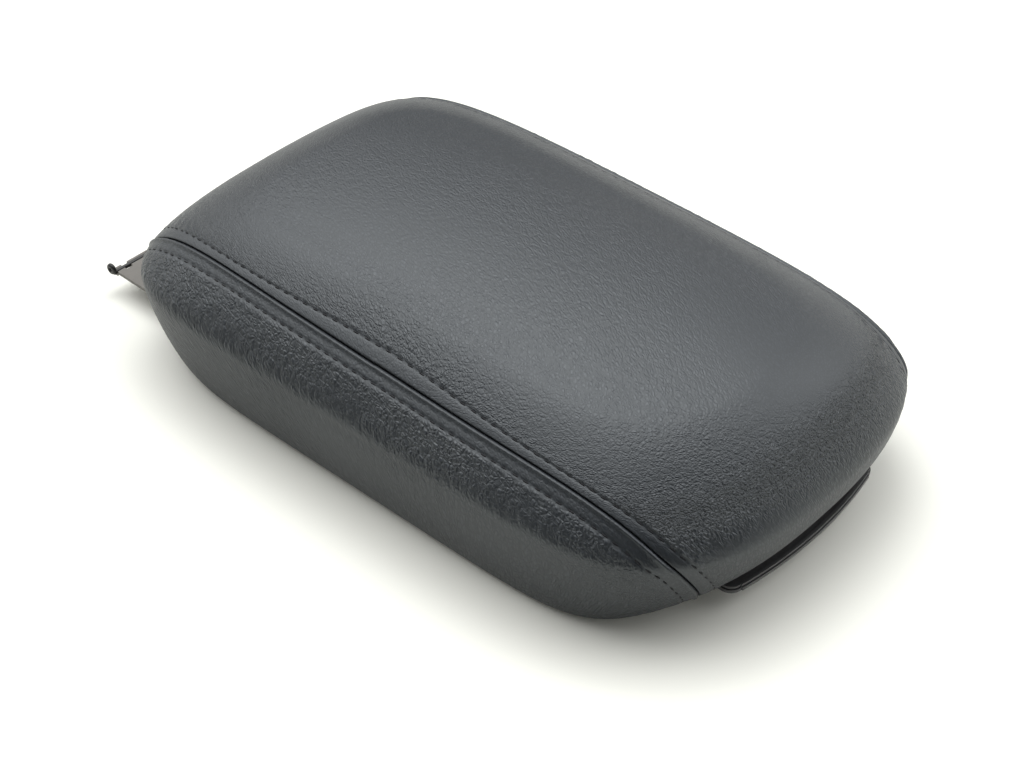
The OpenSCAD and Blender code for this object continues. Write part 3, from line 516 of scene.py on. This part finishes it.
def spots(grid, columns, along_at, from_seam):
    """Places on a grid of points at distances along it and from its first column, with the direction
    along the seam and the normal at each."""
    row = np.interp(along_at, row_at, np.arange(rows))
    r0 = np.clip(row.astype(int), 0, rows - 2)
    f = (row - r0)[:, None]

    def on_row(r):
        """The place that far from the seam on each of these rows, and the number of the column before it."""
        col = np.array([np.interp(from_seam, columns[k], np.arange(columns.shape[1])) for k in r])
        c0 = np.clip(col.astype(int), 0, columns.shape[1] - 2)
        g = (col - c0)[:, None]
        return grid[r, c0] * (1 - g) + grid[r, c0 + 1] * g, c0

    a, c0 = on_row(r0)
    b, _ = on_row(r0 + 1)
    way = b - a
    return a * (1 - f) + b * f, way / np.linalg.norm(way, axis=1, keepdims=True), outward(grid)[r0, c0]


def stitches(name, grid, columns, start, core, mirror):
    """A row of stitches as one mesh: a round thread carried along a low arch, 6 sides and 7 rings each.
    The arch falls with the fourth power of the distance from its middle. The row is as long as the
    panel is more than 4 mm above the pad's lower edge."""
    sides, rings = 6, 7
    thick = thread_r * np.array([0.55, 0.9, 1, 1, 1, 0.9, 0.55])
    stitch_column = np.searchsorted(near_seam, stitch_in)
    sewn = row_at[grid[:, stitch_column, 2] > row_end_h]
    first = start + math.ceil(sewn[0] / stitch_pitch) * stitch_pitch
    at = np.arange(first, sewn[-1] - 2, stitch_pitch)
    centre, way, normal = spots(grid, columns, at, stitch_in)
    normal = facing_out(normal, centre, core)
    t = np.linspace(-1, 1, rings)
    path_y, path_z = half_stitch * t, arch_h - sunk * t ** 4
    ring = np.linspace(0, 2 * np.pi, sides + 1)[:-1]
    local = np.stack([np.broadcast_to(path_y[:, None], (rings, sides)), thick[:, None] * np.cos(ring),
        path_z[:, None] + thick[:, None] * np.sin(ring)], axis=-1).reshape(-1, 3)
    axes = np.stack([way, np.cross(normal, way), normal], axis=1)
    points = in_metres((centre[:, None] + local @ axes).reshape(-1, 3), mirror)

    each, base = sides * rings, np.arange(sides)
    beyond = (base + 1) % sides
    wall = np.concatenate([k * sides + np.stack([base, beyond, sides + beyond, sides + base], axis=1)
        for k in range(rings - 1)])
    faces = (wall[None] + each * np.arange(len(at))[:, None, None]).reshape(-1, 4).tolist()
    ends = (range(sides - 1, -1, -1), range(each - sides, each))
    faces += [[each * k + j for j in end] for k in range(len(at)) for end in ends]
    turned = -1 if mirror else 1
    mesh = bpy.data.meshes.new(name)
    mesh.from_pydata(points, [], [face[::turned] for face in faces])
    mesh.polygons.foreach_set("use_smooth", np.ones(len(mesh.polygons), dtype=bool))
    mesh.update()
    return put(name, mesh)


thread, tree, surface = new_material("charcoal_thread")
place = add_node(tree, "TexCoord").outputs["Object"]
twist = add_node(tree, "TexNoise", place, Scale=2500).outputs["Fac"]
fill_in(tree, surface, Roughness=0.6, Specular_IOR_Level=0.25,
    Base_Color=two_tones(tree, twist, (0.004, 0.004, 0.005), (0.016, 0.016, 0.019)))

# Rows are made on the top's left edge and on the right side panel. The top's right row is made on the
# top mirrored and is mirrored back, and the left side's row is the mirror image of the right side's.
mirrored_top = top_grid[:, ::-1] * [-1, 1, 1]
for name, grid, columns, start, core, mirror in (
        ("stitches_top_left", top_grid, top_col, 0.0, top_core, False),
        ("stitches_top_right", mirrored_top, top_col, 0.0, top_core, True),
        ("stitches_side_right", side_grid, side_col, 0.5 * stitch_pitch, side_core, False),
        ("stitches_side_left", side_grid, side_col, 0.5 * stitch_pitch, side_core, True)):
    piece = stitches(name, grid, columns, start, core, mirror)
    piece.data.materials.append(thread)
    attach(piece, "lid")


# Foam: one block of yellow moulded polyurethane between the carrier and the leather. It takes its form
# from the solid, with rounded edges and an uneven skin drawn in by half a millimetre, in waves 12 to
# 15 mm long.
foam_faces, foam_in, foam_uneven, foam_waves = 0.003, 0.00055, 0.0001, (420, 300)


def plain_finish(name, low, high, roughness, metallic=0.0, grain=900, depth=0.00006):
    """A moulded or plated surface: two close shades mixed by fine noise, with a faint relief."""
    material, tree, surface = new_material(name)
    place = add_node(tree, "TexCoord").outputs["Object"]
    noise = add_node(tree, "TexNoise", place, Scale=grain, Detail=3).outputs["Fac"]
    bump = add_node(tree, "Bump", Strength=0.4, Distance=depth, Height=noise)
    fill_in(tree, surface, Roughness=roughness, Metallic=metallic,
        Base_Color=two_tones(tree, noise, low, high), Normal=bump.outputs["Normal"])
    return material


block = nodes["foam_pad"].copy()
block.data = block.data.copy()
bpy.context.scene.collection.objects.link(block)
even = block.modifiers.new("even_faces", "REMESH")
even.mode, even.voxel_size = "VOXEL", foam_faces
foam_mesh = bpy.data.meshes.new_from_object(block.evaluated_get(bpy.context.evaluated_depsgraph_get()))
foam_mesh.transform(block.matrix_world)
bpy.data.objects.remove(block)
foam_at = np.empty(len(foam_mesh.vertices) * 3, dtype=np.float32)
foam_out = np.empty_like(foam_at)
foam_mesh.vertices.foreach_get("co", foam_at)
foam_mesh.vertices.foreach_get("normal", foam_out)
foam_at, foam_out = foam_at.reshape(-1, 3), foam_out.reshape(-1, 3)
foam_x, foam_y, foam_z = foam_at.T
level, upright = foam_waves
dimples = ripples(foam_x * level + foam_z * upright, foam_y * level - foam_z * upright, 23)
foam_at -= foam_out * (foam_in - foam_uneven * dimples[:, None])
foam_mesh.vertices.foreach_set("co", foam_at.ravel())
foam_mesh.polygons.foreach_set("use_smooth", np.ones(len(foam_mesh.polygons), dtype=bool))
foam_mesh.materials.clear()
foam_mesh.materials.append(plain_finish("yellow_foam", (0.5, 0.45, 0.27), (0.75, 0.7, 0.45), 0.9,
    grain=1800, depth=0.0004))
foam = put("foam_block", foam_mesh)
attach(foam, "lid")
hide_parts("foam_pad")


# Moulded parts: the glass-filled nylon carrier, the base panel screwed under it and the latch housing
# inside it, with moulded rubber bumpers and buffers. They keep their solids.


def dress(material, *names):
    """Gives CAD nodes a finish."""
    for name in names:
        slots = nodes[name].data.materials
        slots.clear()
        slots.append(material)


dress(plain_finish("carrier_moulding", (0.03, 0.03, 0.033), (0.045, 0.045, 0.05), 0.55), "pad_carrier")
dress(plain_finish("black_moulding", (0.012, 0.012, 0.013), (0.02, 0.02, 0.022), 0.45),
    "base_panel", "latch_housing")
dress(plain_finish("black_rubber", (0.012, 0.012, 0.012), (0.02, 0.02, 0.02), 0.8),
    "front_bumpers", "rear_bumpers", "latch_buffers")

# Screws, tapped strip, pin and its clips: steel with a bright zinc plate. The screws hold the base
# panel, the hinge leaf and the latch housing to the carrier.
dress(plain_finish("zinc_plate", (0.45, 0.45, 0.44), (0.62, 0.62, 0.6), 0.35, 1.0),
    "base_screws", "hinge_screws", "hinge_nut_plate", "latch_screws", "latch_pin", "latch_pin_clips")

# Hinge leaf and wire rod: a pressed sheet with a satin warm grey coat, screwed under the carrier, and
# dark spring wire held in its tabs. The latch's spring is of the same wire finish.
dress(plain_finish("leaf_coat", (0.11, 0.103, 0.091), (0.14, 0.132, 0.118), 0.45, grain=400),
    "hinge_leaf")
dress(plain_finish("dark_wire", (0.03, 0.03, 0.03), (0.06, 0.06, 0.06), 0.4, 0.8),
    "hinge_rod", "latch_spring")

# Latch lever: one black moulding with a fine grain, hung on its pin in the housing. The finger lip is
# all that shows of it in front.
dress(plain_finish("lever_moulding", (0.055, 0.055, 0.057), (0.08, 0.08, 0.083), 0.34), "latch_lever")


# Floor: a wide flat white ground, which keeps the lid's shadow. It also glows a little for the camera,
# for mirror images and through glass.
floor_half, floor_glow = 15, 0.05
floor_mesh = bpy.data.meshes.new("floor")
floor_mesh.from_pydata([(x * floor_half, y * floor_half, 0) for x, y in ((-1, -1), (1, -1), (1, 1), (-1, 1))],
    [], [(0, 1, 2, 3)])
floor = put("floor", floor_mesh)
ground, tree, surface = new_material("white_ground")
ray = add_node(tree, "LightPath").outputs
seen = add_node(tree, "Math", ray["Is Camera Ray"], ray["Is Glossy Ray"], use_clamp=True)
seen = add_node(tree, "Math", seen.outputs["Value"], ray["Is Transmission Ray"], use_clamp=True)
glow = add_node(tree, "Math", seen.outputs["Value"], floor_glow, operation="MULTIPLY")
fill_in(tree, surface, Base_Color=(0.85, 0.855, 0.80, 1), Roughness=0.9, Specular_IOR_Level=0.2,
    Emission_Color=(1, 1, 0.9, 1), Emission_Strength=glow.outputs["Value"])
floor_mesh.materials.append(ground)

# The room: bright soft patches above, behind and on the right of the lid, like windows and a pale
# ceiling, and none at its front left, where the camera stands. Each patch has a direction, the cosine
# of the angle at which it ends, and the strength in its middle.
world = bpy.data.worlds.new("surroundings")
bpy.context.scene.world = world
world.use_nodes = True
sky = world.node_tree
way_out = add_node(sky, "TexCoord").outputs["Generated"]
light = 0.0
for direction, edge, strength in (((0, 0.5, 0.87), 0.7, 2.1), ((0.88, 0, 0.47), 0.7, 1.1),
        ((0.62, -0.62, 0.47), 0.7, 0.9), ((-0.35, 0.35, 0.87), 0.7, 0.4), ((0, 0.88, 0.47), 0.7, 1.2),
        ((0.25, 0.2, 0.95), 0.85, 1.7), ((0.6, -0.35, 0.72), 0.85, 1.7)):
    towards = add_node(sky, "VectorMath", way_out, Vector(direction).normalized(), operation="DOT_PRODUCT")
    patch = add_node(sky, "MapRange", towards.outputs["Value"], interpolation_type="SMOOTHSTEP",
        From_Min=edge, To_Max=strength)
    light = add_node(sky, "Math", light, patch.outputs["Result"]).outputs["Value"]
fill_in(sky, sky.nodes["Background"], Color=(1, 1, 1, 1), Strength=light)

# Lamp: one square soft lamp, high up behind the lid on its right, facing it.
lamp_place, lamp_aim = Vector((0.47, 0.43, 1.16)), Vector((0, 0, 0.03))
lamp_data = bpy.data.lights.new("overhead", "AREA")
lamp_data.shape, lamp_data.size, lamp_data.energy = "SQUARE", 0.5, 3
lamp = put("overhead", lamp_data)
lamp_turn = (lamp_aim - lamp_place).to_track_quat("-Z", "Y").to_matrix().to_4x4()
lamp.matrix_world = Matrix.Translation(lamp_place) @ lamp_turn

# Colours are shown as they are written.
bpy.context.scene.view_settings.view_transform = "Standard"
